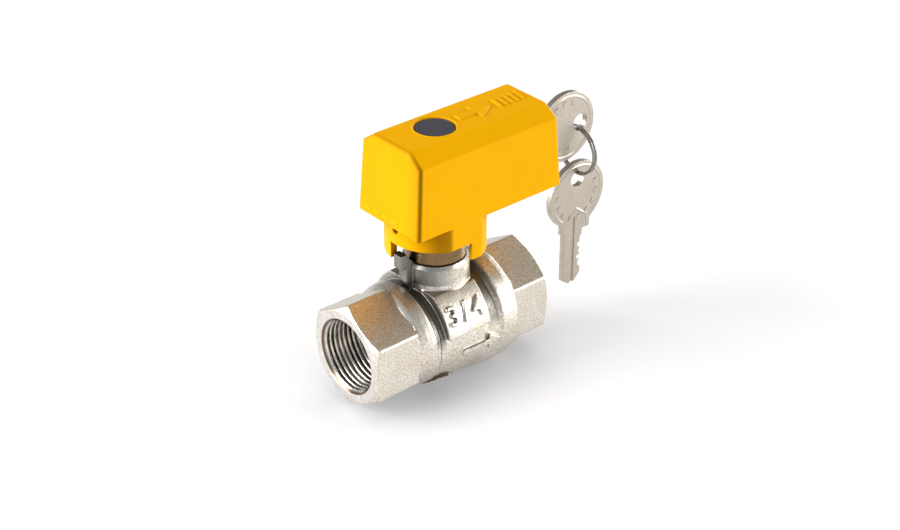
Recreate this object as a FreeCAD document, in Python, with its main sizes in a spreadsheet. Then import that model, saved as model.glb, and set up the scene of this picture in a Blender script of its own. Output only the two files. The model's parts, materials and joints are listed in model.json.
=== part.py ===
import FreeCAD, Part
import math
import os
import Sketcher

# Full-bore ball valve, G 3/4 female ports, with a key-lockable head on the stem.
# Frame: +X along the pipe from inlet to outlet, +Z up the stem, origin at the ball centre.
# All sizes are in millimetres.

os.makedirs("parts", exist_ok=True)
doc = FreeCAD.newDocument("ball_valve")
sheet = doc.addObject("Spreadsheet::Sheet", "dims")

# alias, value
SIZES = [
    # ports and waterway
    ("near_end_x", -38.0), ("far_end_x", 36.0), ("hex_af", 33.0), ("hex_round", 1.3),
    ("near_hex_x", -20.8), ("far_hex_x", 18.9), ("rim_r", 16.1), ("end_chamfer", 1.5),
    ("near_minor_r", 12.06), ("far_minor_r", 12.3), ("thread_major_r", 13.22), ("thread_pitch", 1.814),
    ("thread_turns", 8), ("mouth_r", 13.7), ("mouth_len", 1.3), ("bore_r", 10.0),
    # barrel and joint
    ("joint_x", -12.6), ("collar_r", 18.4), ("barrel_r", 19.4), ("barrel_end_x", 7.0),
    ("belly_r", 20.0), ("belly_drop", 1.0), ("belly_end_x", 21.6), ("chamber_r", 15.5),
    ("groove_floor_r", 19.1), ("groove_drop", 2.4), ("near_groove", 4.1), ("far_groove", 5.4),
    ("spigot_end_x", -7.4), ("seat_pocket_r", 13.4), ("seat_pocket_x", 14.05),
    ("seal_len", 0.3), ("seal_r", 16.4), ("fit_gap", 0.05),
    # saddle plate, neck and stop lug
    ("saddle_near_x", -10.4), ("saddle_far_x", 7.2), ("saddle_r", 20.4), ("saddle_low_z", 4.2),
    ("saddle_top_z", 17.0),
    ("neck_r", 11.3), ("neck_top_z", 25.6), ("neck_spigot_r", 8.4), ("neck_spigot_top_z", 30.0),
    ("lug_width", 4.0), ("lug_x", -14.0), ("lug_head_x", -16.1), ("lug_head_in_x", -13.5),
    ("lug_low_z", 10.0), ("lug_step_z", 25.0), ("lug_top_z", 30.0),
    # ball, seats and stem
    ("ball_r", 15.0), ("ball_slot_z", 11.4), ("slot_width", 5.1), ("seat_in_r", 10.2),
    ("seat_out_r", 13.3), ("seat_face_x", 8.8), ("seat_back_x", 14.0),
    ("stem_r", 5.5), ("tang_width", 5.0), ("tang_len", 11.0), ("tang_low_z", 11.6),
    ("flange_r", 7.2), ("flange_low_z", 15.4), ("flange_top_z", 17.2), ("flange_bore_r", 7.5),
    ("neck_shoulder_z", 18.05), ("oring_low_z", 20.6), ("oring_high_z", 23.6),
    ("oring_r", 4.85), ("oring_wire_r", 0.62), ("oring_groove_r", 4.2), ("oring_groove_half", 0.75),
    ("square_z", 33.4), ("square_af", 8.0), ("stem_top_z", 46.0),
    ("packing_r", 7.3), ("packing_low_z", 27.0), ("packing_top_z", 29.9),
    # locking ring
    ("ring_low_z", 25.7), ("ring_r", 10.3), ("ring_in_r", 8.45), ("web_low_z", 30.1),
    ("web_top_z", 32.0), ("web_in_r", 5.7), ("ring_upper_in_r", 7.0), ("ring_flange_r", 14.0),
    ("ring_flange_z", 34.6), ("ring_top_z", 36.6), ("notch_width", 4.3), ("notch_in_r", 10.6),
    # head: block and skirt
    ("block_near_x", -19.7), ("block_far_x", 41.6), ("block_low_z", 42.4), ("block_top_z", 71.0),
    ("block_half", 15.5), ("block_half_up", 14.6), ("block_side_z", 67.0), ("block_top_half", 9.0),
    ("end_lean", 1.85), ("block_round", 1.5), ("skirt_r", 16.8), ("skirt_low_z", 28.1),
    ("skirt_notch_z", 34.3), ("skirt_in_r", 14.3), ("skirt_roof_z", 37.2),
    ("skirt_notch_from", 171.0), ("skirt_notch_sweep", 108.0), ("head_floor_z", 46.3),
    ("head_square_af", 8.1), ("well_r", 6.35), ("cap_r", 6.6), ("cap_low_z", 68.6),
    ("mark_height", 0.5),
    # head fastening
    ("washer_r", 5.8), ("washer_len", 1.2), ("screw_head_r", 4.3), ("screw_head_len", 4.6),
    ("screw_r", 2.45), ("screw_low_z", 41.4), ("screw_socket_af", 4.0),
    ("pin_z", 39.6), ("pin_r", 1.25), ("pin_out_x", -15.4), ("pin_in_x", -1.0),
    # lock
    ("lock_z", 54.0), ("lock_r", 6.5), ("lock_in_x", 16.6), ("lock_face_x", 41.2),
    ("lock_flange_r", 7.8), ("lock_flange_x", 40.0), ("plug_r", 5.0), ("plug_in_x", 14.6),
    ("plug_face_x", 42.4), ("clip_x", 15.3), ("clip_len", 0.9), ("clip_groove_r", 4.1),
    ("clip_out_r", 6.1), ("keyway_width", 2.45), ("keyway_height", 9.0), ("keyway_end_x", 19.6),
    ("crank_e", 3.5), ("crank_pin_r", 1.5), ("crank_end_x", 11.0),
    ("bolt_x", 10.7), ("bolt_thick", 3.2), ("bolt_tip_width", 4.0), ("bolt_width", 10.0),
    ("bolt_tip_z", 37.0), ("bolt_shoulder_z", 47.9), ("bolt_top_z", 60.0), ("bolt_slot_half", 1.68),
    ("set_screw_x", 30.0), ("set_screw_r", 2.0), ("set_screw_top_z", 47.35),
    # keys and ring
    ("key_shoulder_x", 42.7), ("key_head_len", 27.2), ("bow_r", 12.75), ("key_thick", 2.2),
    ("key_hole_r", 3.1), ("key_hole_edge", 6.4), ("blade_len", 20.8), ("blade_low", -5.5),
    ("blade_high", 3.1), ("key_offset", 1.2), ("key_shoulder_half", 6.6), ("key_neck_len", 3.2),
    ("wire_r", 0.5), ("coil_r", 8.8), ("coil_pitch", 1.04), ("hang", 2.1),
]


class Dim:
    """A number together with the spreadsheet expression that gives it."""

    def __init__(self, value, text):
        self.value = value
        self.text = text

    def __add__(self, other):
        return combine(self, other, "+", lambda a, b: a + b)

    def __sub__(self, other):
        return combine(self, other, "-", lambda a, b: a - b)

    def __mul__(self, other):
        return combine(self, other, "*", lambda a, b: a * b)

    def __truediv__(self, other):
        return combine(self, other, "/", lambda a, b: a / b)

    def __neg__(self):
        return Dim(-self.value, "(-1 * %s)" % self.text)


def as_dim(item):
    return item if isinstance(item, Dim) else Dim(float(item), "(%.6f)" % float(item))


def combine(left, right, sign, operation):
    left = as_dim(left)
    right = as_dim(right)
    return Dim(operation(left.value, right.value), "(%s %s %s)" % (left.text, sign, right.text))


D = {}
for row, (alias, number) in enumerate(SIZES, start=1):
    sheet.set("A%d" % row, alias)
    sheet.set("B%d" % row, "%s" % number)
    sheet.setAlias("B%d" % row, alias)
    D[alias] = Dim(float(number), "dims.%s" % alias)
doc.recompute()

X_AXIS = FreeCAD.Rotation(FreeCAD.Vector(0, 1, 0), 90)
Y_AXIS = FreeCAD.Rotation(FreeCAD.Vector(1, 0, 0), -90)
Z_AXIS = FreeCAD.Rotation()
PIECES = []


def bind(item, prop, size):
    size = as_dim(size)
    item.setExpression(prop, size.text)


def place(item, at, turn=Z_AXIS):
    values = [as_dim(part) for part in at]
    item.Placement = FreeCAD.Placement(FreeCAD.Vector(*[part.value for part in values]), turn)
    for letter, part in zip("xyz", values):
        bind(item, ".Placement.Base." + letter, part)
    return item


def cylinder(name, radius, length, at, turn=Z_AXIS, sweep=None):
    item = doc.addObject("Part::Cylinder", name)
    bind(item, "Radius", radius)
    bind(item, "Height", length)
    if sweep is not None:
        bind(item, "Angle", sweep)
    return place(item, at, turn)


def box(name, size, at, turn=Z_AXIS):
    item = doc.addObject("Part::Box", name)
    for prop, part in zip(("Length", "Width", "Height"), size):
        bind(item, prop, part)
    return place(item, at, turn)


def centred_box(name, x_from, x_to, width, z_from, z_to):
    width = as_dim(width)
    size = (as_dim(x_to) - x_from, width, as_dim(z_to) - z_from)
    return box(name, size, (x_from, -(width / 2.0), z_from))


def prism(name, across_flats, length, at, turn=Z_AXIS, sides=6):
    item = doc.addObject("Part::Prism", name)
    item.Polygon = sides
    bind(item, "Circumradius", as_dim(across_flats) / (2.0 * math.cos(math.pi / sides)))
    bind(item, "Height", length)
    return place(item, at, turn)


def sketch_on(body, plane, name, points):
    """Closed polyline on one of the body's own planes, every corner bound to the sheet."""
    sketch = body.newObject("Sketcher::SketchObject", name)
    support = [item for item in body.Origin.OriginFeatures if item.Role == plane][0]
    sketch.AttachmentSupport = [(support, "")]
    sketch.MapMode = "FlatFace"
    corners = [(as_dim(across), as_dim(up)) for across, up in points]
    count = len(corners)
    for index in range(count):
        start = corners[index]
        end = corners[(index + 1) % count]
        line = Part.LineSegment(
            FreeCAD.Vector(start[0].value, start[1].value, 0),
            FreeCAD.Vector(end[0].value, end[1].value, 0),
        )
        sketch.addGeometry(line, False)
    for index in range(count):
        sketch.addConstraint(Sketcher.Constraint("Coincident", index, 2, (index + 1) % count, 1))
    for index, corner in enumerate(corners):
        for kind, size in zip(("DistanceX", "DistanceY"), corner):
            number = sketch.addConstraint(
                Sketcher.Constraint(kind, -1, 1, index, 1, size.value)
            )
            sketch.setExpression("Constraints[%d]" % number, size.text)
    return sketch


def revolve(name, axis, points):
    """Solid of revolution about X or Z: points are (along the axis, radius)."""
    body = doc.addObject("PartDesign::Body", name)
    if axis == "X":
        sketch = sketch_on(body, "XY_Plane", name + "_profile", points)
    else:
        flipped = [(radius, along) for along, radius in points]
        sketch = sketch_on(body, "XZ_Plane", name + "_profile", flipped)
    feature = body.newObject("PartDesign::Revolution", name + "_turned")
    feature.Profile = sketch
    feature.ReferenceAxis = (sketch, ["H_Axis" if axis == "X" else "V_Axis"])
    feature.Angle = 360.0
    return body


def pad(name, plane, points, length, at=(0, 0, 0)):
    """Straight solid on a body plane, centred on it, then moved to its place."""
    body = doc.addObject("PartDesign::Body", name)
    sketch = sketch_on(body, plane, name + "_profile", points)
    feature = body.newObject("PartDesign::Pad", name + "_pad")
    feature.Profile = sketch
    feature.Midplane = True
    bind(feature, "Length", length)
    return place(body, at)


def fuse(name, parts):
    item = doc.addObject("Part::MultiFuse", name)
    item.Shapes = parts
    item.Refine = True
    return item


def common(name, parts):
    item = doc.addObject("Part::MultiCommon", name)
    item.Shapes = parts
    item.Refine = True
    return item


def cut(name, base, tools):
    item = doc.addObject("Part::Cut", name)
    item.Base = base
    item.Tool = tools[0] if len(tools) == 1 else fuse(name + "_tools", tools)
    item.Refine = True
    return item


def rounded(name, base, radius, chosen):
    """Fillet of the base's edges for which chosen(edge) is true."""
    doc.recompute()
    item = doc.addObject("Part::Fillet", name)
    item.Base = base
    edges = []
    for index, edge in enumerate(base.Shape.Edges, start=1):
        if chosen(edge):
            edges.append((index, radius, radius))
    item.Edges = edges
    return item


def piece(item, label):
    item.Label = label
    PIECES.append(item)
    return item


def straight(edge):
    return edge.Curve.TypeId == "Part::GeomLine"


def along(edge, axis):
    if not straight(edge):
        return False
    way = edge.Curve.Direction
    return abs(abs((way.x, way.y, way.z)[axis]) - 1.0) < 1e-6


def port_tool(name, mouth_x, inward, minor_r):
    """Threaded port: mouth chamfer, then V-grooves with crest lands at the minor radius."""
    turns = int(D["thread_turns"].value)
    points = [(mouth_x - inward * 1.0, 0), (mouth_x - inward * 1.0, D["mouth_r"] + 0.78)]
    points.append((mouth_x + D["mouth_len"] * inward, minor_r))
    half_groove = (D["thread_major_r"] - minor_r) * math.tan(math.radians(27.5))
    start = mouth_x + (D["mouth_len"] + 0.4) * inward
    for turn in range(turns):
        groove = start + (half_groove + D["thread_pitch"] * turn) * inward
        points.append((groove - half_groove * inward, minor_r))
        points.append((groove, D["thread_major_r"]))
        points.append((groove + half_groove * inward, minor_r))
    bottom = start + (D["thread_pitch"] * turns) * inward
    points.append((bottom, minor_r))
    points.append((bottom + 1.2 * inward, D["bore_r"]))
    points.append((bottom + 1.2 * inward, 0))
    return revolve(name, "X", points)


def hexagon(name, from_x, to_x):
    """Hexagon bar along X with two corners up and down, long edges rounded."""
    bar = prism(name + "_bar", D["hex_af"], as_dim(to_x) - from_x, (from_x, 0, 0), X_AXIS)
    return rounded(name, bar, D["hex_round"].value, lambda edge: along(edge, 0))


def seat(name, side):
    points = [
        (D["seat_face_x"] * side, D["seat_in_r"]),
        (D["seat_back_x"] * side, D["seat_in_r"]),
        (D["seat_back_x"] * side, D["seat_out_r"]),
        (D["seat_face_x"] * side, D["seat_out_r"]),
    ]
    blank = revolve(name + "_blank", "X", points)
    hollow = doc.addObject("Part::Sphere", name + "_hollow")
    bind(hollow, "Radius", D["ball_r"] + D["fit_gap"])
    return cut(name, blank, [hollow])


# ---------------------------------------------------------------- valve body
def side_groove(name, inner, side, width):
    """Groove beside the saddle plate, dropped below the axis: deep on top, fading out below."""
    outer = inner + width * side
    floor = D["groove_floor_r"]
    item = revolve(name, "X", [
        (inner - 2.0 * side, floor),
        (outer - 0.3 * side, floor),
        (outer + 0.3 * side, floor + 0.8),
        (outer + 0.9 * side, floor + 2.0),
        (outer + 0.9 * side, floor + 6.0),
        (inner - 2.0 * side, floor + 6.0),
    ])
    return place(item, (0, 0, -D["groove_drop"]))


def make_body():
    barrel = revolve("barrel", "X", [
        (D["joint_x"], 0),
        (D["joint_x"], D["collar_r"] - 0.3),
        (D["joint_x"] + 0.3, D["collar_r"]),
        (-10.0, D["barrel_r"] - 0.8),
        (-4.0, D["barrel_r"] - 0.1),
        (D["barrel_end_x"], D["barrel_r"]),
        (D["barrel_end_x"], 0),
    ])
    belly = revolve("belly_turned", "X", [
        (1.0, 0),
        (1.0, D["belly_r"] - 2.2),
        (5.0, D["belly_r"] - 0.5),
        (9.0, D["belly_r"] - 0.1),
        (13.0, D["belly_r"]),
        (D["belly_end_x"] - 3.4, D["belly_r"] - 0.1),
        (D["belly_end_x"] - 1.5, D["belly_r"] - 0.6),
        (D["belly_end_x"] - 0.4, D["belly_r"] - 1.6),
        (D["belly_end_x"], D["belly_r"] - 3.2),
        (D["belly_end_x"], 0),
    ])
    place(belly, (0, 0, -D["belly_drop"]))
    grooves = [
        side_groove("left_groove", D["saddle_near_x"], -1.0, D["near_groove"]),
        side_groove("right_groove", D["saddle_far_x"], 1.0, D["far_groove"]),
    ]
    trunk = cut("trunk", fuse("trunk_blank", [barrel, belly]), grooves)
    lathe = revolve("far_lathe", "X", [
        (D["far_hex_x"], 0),
        (D["far_hex_x"], 19.0),
        (D["far_end_x"] - D["end_chamfer"], 19.0),
        (D["far_end_x"], D["rim_r"]),
        (D["far_end_x"], 0),
    ])
    far_hex = common("far_hex_turned", [hexagon("far_hex", D["far_hex_x"], D["far_end_x"]), lathe])
    neck = revolve("neck", "Z", [
        (0, 0),
        (0, D["neck_r"] + 0.5),
        (16.4, D["neck_r"] + 0.5),
        (17.6, D["neck_r"] + 0.2),
        (19.0, D["neck_r"]),
        (D["neck_top_z"] - 1.4, D["neck_r"]),
        (D["neck_top_z"], D["neck_r"] - 0.8),
        (D["neck_top_z"], D["neck_spigot_r"]),
        (D["neck_spigot_top_z"] - 0.5, D["neck_spigot_r"]),
        (D["neck_spigot_top_z"], D["neck_spigot_r"] - 0.5),
        (D["neck_spigot_top_z"], 0),
    ])
    plate = box(
        "saddle_plate",
        (D["saddle_far_x"] - D["saddle_near_x"], 50, D["saddle_top_z"] - D["saddle_low_z"]),
        (D["saddle_near_x"], -25, D["saddle_low_z"]),
    )
    drum = cylinder("saddle_drum", D["saddle_r"], 30, (-15, 0, 0), X_AXIS)
    saddle_sharp = common("saddle_sharp", [plate, drum])
    lug_column = pad("lug_column", "XZ_Plane", [
        (D["lug_x"], D["lug_low_z"]),
        (D["lug_x"], D["lug_top_z"] - 0.4),
        (-10.4, 26.2),
        (-5.0, 26.2),
        (-5.0, D["lug_low_z"]),
    ], D["lug_width"])
    lug_head = centred_box(
        "lug_head", D["lug_head_x"], D["lug_head_in_x"], D["lug_width"], D["lug_step_z"],
        D["lug_top_z"])
    ring_clear = cylinder("ring_clear", 10.75, 20, (0, 0, D["neck_top_z"]))
    collar_clear = cylinder(
        "collar_clear", D["collar_r"] + 0.35, 20, (D["joint_x"] - 20.0, 0, 0), X_AXIS)
    lug_sharp = cut(
        "lug_sharp", fuse("lug_blank", [lug_column, lug_head]), [ring_clear, collar_clear])
    lug = rounded("lug", lug_sharp, 0.5, lambda edge: along(edge, 2) and edge.CenterOfMass.x < -13.8)
    shell = fuse("body_blank", [trunk, far_hex, neck, saddle_sharp, lug])
    chamber = revolve("chamber", "X", [
        (D["joint_x"] - 1.0, 0),
        (D["joint_x"] - 1.0, D["chamber_r"]),
        (D["seat_face_x"] - 0.3, D["chamber_r"]),
        (D["seat_face_x"] - 0.3, D["seat_pocket_r"]),
        (D["seat_pocket_x"], D["seat_pocket_r"]),
        (D["seat_pocket_x"], D["bore_r"]),
        (D["far_end_x"] - 10.0, D["bore_r"]),
        (D["far_end_x"] - 10.0, 0),
    ])
    port = port_tool("far_port", D["far_end_x"], -1.0, D["far_minor_r"])
    stem_bore = cylinder(
        "stem_bore", D["stem_r"] + D["fit_gap"], 40, (0, 0, 0))
    flange_bore = cylinder("flange_bore", D["flange_bore_r"], D["neck_shoulder_z"], (0, 0, 0))
    packing_bore = cylinder(
        "packing_bore", D["packing_r"] + 0.03, 10, (0, 0, D["packing_low_z"]))
    return cut("body", shell, [chamber, port, stem_bore, flange_bore, packing_bore])


def make_end_connector():
    lathe = revolve("near_lathe", "X", [
        (D["near_end_x"], 0),
        (D["near_end_x"], D["rim_r"]),
        (D["near_end_x"] + D["end_chamfer"], 19.0),
        (D["near_hex_x"], 19.0),
        (D["near_hex_x"] + 0.4, 0),
    ])
    bar = hexagon("near_hex", D["near_end_x"], D["near_hex_x"] + 1.2)
    face_x = D["joint_x"] - D["fit_gap"]
    collar = revolve("collar", "X", [
        (D["near_hex_x"] - 6.0, 0),
        (D["near_hex_x"] - 1.4, D["collar_r"] - 2.7),
        (D["near_hex_x"] - 0.4, D["collar_r"] - 1.5),
        (D["near_hex_x"] + 1.0, D["collar_r"] - 0.7),
        (D["near_hex_x"] + 3.2, D["collar_r"] - 0.2),
        (D["near_hex_x"] + 5.2, D["collar_r"]),
        (face_x - 0.15, D["collar_r"]),
        (face_x, D["collar_r"] - 0.15),
        (face_x, 0),
    ])
    groove = side_groove("collar_groove", D["saddle_near_x"], -1.0, D["near_groove"])
    collar_cut = cut("collar_cut", collar, [groove])
    outside = fuse("near_outside", [common("near_bar", [bar, lathe]), collar_cut])
    spigot = revolve("spigot", "X", [
        (-20.0, 0),
        (-20.0, D["chamber_r"] - D["fit_gap"]),
        (D["spigot_end_x"] - 0.5, D["chamber_r"] - D["fit_gap"]),
        (D["spigot_end_x"], D["chamber_r"] - D["fit_gap"] - 0.5),
        (D["spigot_end_x"], 0),
    ])
    hollow = revolve("near_hollow", "X", [
        (-26.0, 0),
        (-26.0, D["bore_r"]),
        (-D["seat_pocket_x"], D["bore_r"]),
        (-D["seat_pocket_x"], D["seat_pocket_r"]),
        (0, D["seat_pocket_r"]),
        (0, 0),
    ])
    seal_pocket = revolve("seal_pocket", "X", [
        (D["joint_x"] - D["seal_len"], D["chamber_r"] - D["fit_gap"]),
        (D["joint_x"] - D["seal_len"], D["seal_r"] + 0.05),
        (D["joint_x"] + 1.0, D["seal_r"] + 0.05),
        (D["joint_x"] + 1.0, D["chamber_r"] - D["fit_gap"]),
    ])
    port = port_tool("near_port", D["near_end_x"], 1.0, D["near_minor_r"])
    return cut("end_connector", fuse("near_blank", [outside, spigot]), [hollow, port, seal_pocket])


def make_connector_seal():
    near = D["joint_x"] - D["seal_len"] + 0.02
    far = D["joint_x"] - 0.02
    return revolve("connector_seal", "X", [
        (near, D["chamber_r"]),
        (near, D["seal_r"] - 0.2),
        (far, D["seal_r"]),
        (far, D["chamber_r"]),
    ])


def make_ball():
    sphere = doc.addObject("Part::Sphere", "sphere")
    bind(sphere, "Radius", D["ball_r"])
    waterway = cylinder("waterway", D["bore_r"], 40, (-20, 0, 0), X_AXIS)
    slot = centred_box("ball_slot", -20, 20, D["slot_width"], D["ball_slot_z"], 20)
    return cut("ball", sphere, [waterway, slot])


def make_thrust_washer():
    return revolve("thrust_washer", "Z", [
        (D["flange_top_z"] + 0.05, D["stem_r"] + 0.08),
        (D["flange_top_z"] + 0.05, D["flange_bore_r"] - 0.06),
        (D["neck_shoulder_z"] - 0.03, D["flange_bore_r"] - 0.06),
        (D["neck_shoulder_z"] - 0.03, D["stem_r"] + 0.08),
    ])


def make_stem():
    shaft = revolve("stem_turned", "Z", [
        (D["tang_low_z"], 0),
        (D["tang_low_z"], D["tang_len"] / 2.0),
        (D["flange_low_z"], D["tang_len"] / 2.0),
        (D["flange_low_z"], D["flange_r"]),
        (D["flange_top_z"], D["flange_r"]),
        (D["flange_top_z"], D["stem_r"]),
        (D["oring_low_z"] - D["oring_groove_half"], D["stem_r"]),
        (D["oring_low_z"] - D["oring_groove_half"], D["oring_groove_r"]),
        (D["oring_low_z"] + D["oring_groove_half"], D["oring_groove_r"]),
        (D["oring_low_z"] + D["oring_groove_half"], D["stem_r"]),
        (D["oring_high_z"] - D["oring_groove_half"], D["stem_r"]),
        (D["oring_high_z"] - D["oring_groove_half"], D["oring_groove_r"]),
        (D["oring_high_z"] + D["oring_groove_half"], D["oring_groove_r"]),
        (D["oring_high_z"] + D["oring_groove_half"], D["stem_r"]),
        (D["stem_top_z"] - 0.6, D["stem_r"]),
        (D["stem_top_z"], D["stem_r"] - 0.6),
        (D["stem_top_z"], 0),
    ])
    tang = centred_box("tang", -20, 20, D["tang_width"], D["tang_low_z"] - 1, D["flange_low_z"])
    round_part = centred_box("round_part", -20, 20, 40, D["flange_low_z"], D["square_z"])
    square = centred_box(
        "square", -(D["square_af"] / 2.0), D["square_af"] / 2.0, D["square_af"], D["square_z"], 60)
    turned = common("stem_solid", [shaft, fuse("stem_zones", [tang, round_part, square])])
    screw_hole = cylinder("screw_hole", D["screw_r"] + D["fit_gap"], 20, (0, 0, D["screw_low_z"] - 0.3))
    pin_hole = cylinder(
        "stem_pin_hole", D["pin_r"] + D["fit_gap"], 10, (-8, 0, D["pin_z"]), X_AXIS)
    return cut("stem", turned, [screw_hole, pin_hole])


def make_oring(name, height):
    item = doc.addObject("Part::Torus", name)
    bind(item, "Radius1", D["oring_r"])
    bind(item, "Radius2", D["oring_wire_r"])
    return place(item, (0, 0, height))


def make_gland_packing():
    inner = D["stem_r"] + 0.06
    return revolve("gland_packing", "Z", [
        (D["packing_low_z"] + 0.02, inner),
        (D["packing_low_z"] + 0.02, D["packing_r"] - 0.02),
        (D["packing_top_z"], D["packing_r"] - 0.02),
        (D["packing_top_z"], inner),
    ])


def make_locking_ring():
    turned = revolve("ring_turned", "Z", [
        (D["ring_low_z"], D["ring_in_r"]),
        (D["ring_low_z"], D["ring_r"] - 0.3),
        (D["ring_low_z"] + 0.3, D["ring_r"]),
        (D["ring_flange_z"], D["ring_r"]),
        (D["ring_flange_z"], D["ring_flange_r"]),
        (D["ring_top_z"] - 0.3, D["ring_flange_r"]),
        (D["ring_top_z"], D["ring_flange_r"] - 0.3),
        (D["ring_top_z"], D["ring_upper_in_r"]),
        (D["web_top_z"], D["ring_upper_in_r"]),
        (D["web_top_z"], D["web_in_r"]),
        (D["web_low_z"], D["web_in_r"]),
        (D["web_low_z"], D["ring_in_r"]),
    ])
    half = D["notch_width"] / 2.0
    tall = (D["ring_flange_z"] - 0.5, 5)
    open_notch = box(
        "notch_open", (8, D["notch_width"], tall[1]), (D["notch_in_r"], -half, tall[0]))
    shut_notch = box(
        "notch_shut", (D["notch_width"], 8, tall[1]), (-half, -(D["notch_in_r"] + 8.0), tall[0]))
    return cut("locking_ring", turned, [open_notch, shut_notch])


# ---------------------------------------------------------------- head
def make_lock_head():
    section = pad("block_section", "YZ_Plane", [
        (-D["block_half"], D["block_low_z"]),
        (D["block_half"], D["block_low_z"]),
        (D["block_half_up"], D["block_side_z"]),
        (D["block_top_half"], D["block_top_z"]),
        (-D["block_top_half"], D["block_top_z"]),
        (-D["block_half_up"], D["block_side_z"]),
    ], 120)
    length = pad("block_length", "XZ_Plane", [
        (D["block_near_x"], D["block_low_z"]),
        (D["block_far_x"], D["block_low_z"]),
        (D["block_far_x"] - D["end_lean"], D["block_top_z"]),
        (D["block_near_x"] + D["end_lean"], D["block_top_z"]),
    ], 60)
    sharp = common("block_sharp", [section, length])

    def end_edge(edge):
        middle = edge.CenterOfMass
        at_end = middle.x < -15.0 or middle.x > 36.0
        return at_end and middle.z > D["block_low_z"].value + 0.5

    block_ends = rounded("block_ends", sharp, D["block_round"].value, end_edge)
    skirt_round = cylinder(
        "skirt_round", D["skirt_r"], D["block_low_z"] - D["skirt_low_z"] + 1.0,
        (0, 0, D["skirt_low_z"]))
    skirt_zone = centred_box(
        "skirt_zone", -30, 30, D["block_half"] * 2.0, D["skirt_low_z"], D["block_low_z"] + 1.0)
    skirt = common("skirt", [skirt_round, skirt_zone])
    marks = [head_arrow()] + head_ribs()
    blank = fuse("head_blank", [block_ends, skirt] + marks)

    turn = FreeCAD.Rotation(FreeCAD.Vector(0, 0, 1), D["skirt_notch_from"].value)
    tools = [
        cylinder("skirt_hollow", D["skirt_in_r"], D["skirt_roof_z"] - D["skirt_low_z"] + 1.0,
                 (0, 0, D["skirt_low_z"] - 1.0)),
        cylinder("skirt_notch", 25, D["skirt_notch_z"] - D["skirt_low_z"] + 1.0,
                 (0, 0, D["skirt_low_z"] - 1.0), turn, D["skirt_notch_sweep"]),
        centred_box("head_square", -(D["head_square_af"] / 2.0), D["head_square_af"] / 2.0,
                    D["head_square_af"], 30, D["head_floor_z"] + 1.0),
        cylinder("screw_well", D["well_r"], 40, (0, 0, D["head_floor_z"])),
        revolve("cap_recess", "Z", [
            (D["cap_low_z"], 0),
            (D["cap_low_z"], D["cap_r"]),
            (D["block_top_z"] - 0.5, D["cap_r"]),
            (D["block_top_z"] + 0.5, D["cap_r"] + 1.0),
            (D["block_top_z"] + 0.5, 0),
        ]),
        cylinder("lock_bore", D["lock_r"] + D["fit_gap"], 40, (14.4, 0, D["lock_z"]), X_AXIS),
        cylinder("flange_seat", D["lock_flange_r"] + 0.3, 20,
                 (D["lock_flange_x"] - 0.02, 0, D["lock_z"]), X_AXIS),
        cylinder("crank_space", 5.6, 10, (D["bolt_x"] - 0.05, 0, D["lock_z"]), X_AXIS),
        centred_box("bolt_way", D["bolt_x"] - 0.05, D["bolt_x"] + D["bolt_thick"] + 0.05,
                    D["bolt_width"] + 0.3, 42.6, D["bolt_top_z"] + 0.3),
        centred_box("tip_way", D["bolt_x"] - 0.05, D["bolt_x"] + D["bolt_thick"] + 0.05,
                    D["bolt_tip_width"] + 0.3, 36.0, 43.0),
        cylinder("set_screw_hole", D["set_screw_r"] + D["fit_gap"], 10,
                 (D["set_screw_x"], 0, D["block_low_z"] - 4.0)),
        cylinder("head_pin_hole", D["pin_r"] + D["fit_gap"], 20, (-22, 0, D["pin_z"]), X_AXIS),
    ]
    return cut("lock_head", blank, tools)


def head_arrow():
    """Raised generic arrow along the handle, on the top face."""
    points = [(9.2, -1.6), (16.5, -1.6), (16.5, -4.2), (23.5, 0.0), (16.5, 4.2), (16.5, 1.6), (9.2, 1.6)]
    height = D["mark_height"] * 2.0
    return pad("top_arrow", "XY_Plane", points, height, (0, 0, D["block_top_z"]))


def head_ribs():
    """Raised slanted grip bars on the top face and short dashes low on the near end face."""
    ribs = []
    for index in range(5):
        start = 25.2 + 2.4 * index
        points = [(start, -3.0), (start + 1.3, -3.0), (start + 2.2, 3.0), (start + 0.9, 3.0)]
        height = D["mark_height"] * 2.0
        ribs.append(pad("top_bar_%d" % index, "XY_Plane", points, height, (0, 0, D["block_top_z"])))
    for index in range(4):
        low = -4.6 + 4.4 * index
        ribs.append(box(
            "end_dash_%d" % index, (1.0, 3.0, 0.9),
            (D["block_near_x"] - 0.18, low, D["block_low_z"] + 1.9)))
    return ribs


def make_head_washer():
    low = D["head_floor_z"] + 0.02
    return revolve("head_washer", "Z", [
        (low, D["screw_r"] + 0.3),
        (low, D["washer_r"]),
        (low + D["washer_len"], D["washer_r"]),
        (low + D["washer_len"], D["screw_r"] + 0.3),
    ])


def make_head_screw():
    low = D["head_floor_z"] + D["washer_len"] + 0.04
    turned = revolve("screw_turned", "Z", [
        (D["screw_low_z"], 0),
        (D["screw_low_z"], D["screw_r"] - 0.5),
        (D["screw_low_z"] + 0.5, D["screw_r"]),
        (low, D["screw_r"]),
        (low, D["screw_head_r"]),
        (low + D["screw_head_len"] - 0.4, D["screw_head_r"]),
        (low + D["screw_head_len"], D["screw_head_r"] - 0.4),
        (low + D["screw_head_len"], 0),
    ])
    socket = prism(
        "screw_socket", D["screw_socket_af"], 10, (0, 0, low + D["screw_head_len"] - 2.6))
    return cut("head_screw", turned, [socket])


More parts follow.
